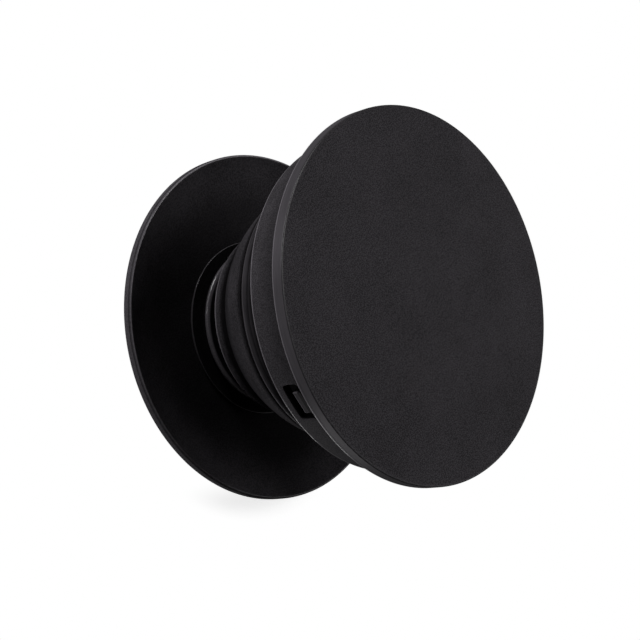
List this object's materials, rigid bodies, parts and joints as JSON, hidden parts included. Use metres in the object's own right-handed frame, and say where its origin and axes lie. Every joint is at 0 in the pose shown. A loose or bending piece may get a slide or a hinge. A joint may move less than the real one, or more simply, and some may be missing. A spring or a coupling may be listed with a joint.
{
  "type": "collapsible phone grip",
  "caption": "Round black phone grip: a dished adhesive base and a flat cap joined by a tapered rubber accordion that pulls out to be held and presses flat.",
  "frame": {"origin": "centre of the adhesive face, on the grip's axis", "axes": "+Z along the grip's axis from the adhesive face to the cap; +X towards one of the collar's two windows"},
  "size_m": [0.0398, 0.0398, 0.0275],
  "materials": {
    "black_plastic": "fine matte moulded grain",
    "black_rubber": "satin moulded rubber",
    "pad_foam": "tacky matte foam"
  },
  "bodies": {
    "base": {"base_plate": "black_plastic", "adhesive_pad": "pad_foam"},
    "stem": {"snap_foot": "black_plastic", "accordion": "black_rubber"},
    "top": {"retainer_ring": "black_plastic", "cap": "black_plastic"}
  },
  "joints": [
    {"name": "swivel", "type": "hinge", "parent": "base", "child": "stem", "pos_m": [0, 0, 0], "axis": [0, 0, 1], "continuous": true},
    {"name": "collapse", "type": "slide", "parent": "stem", "child": "top", "axis": [0, 0, 1], "range_m": [-0.0178, 0], "deforming": ["accordion"]}
  ]
}
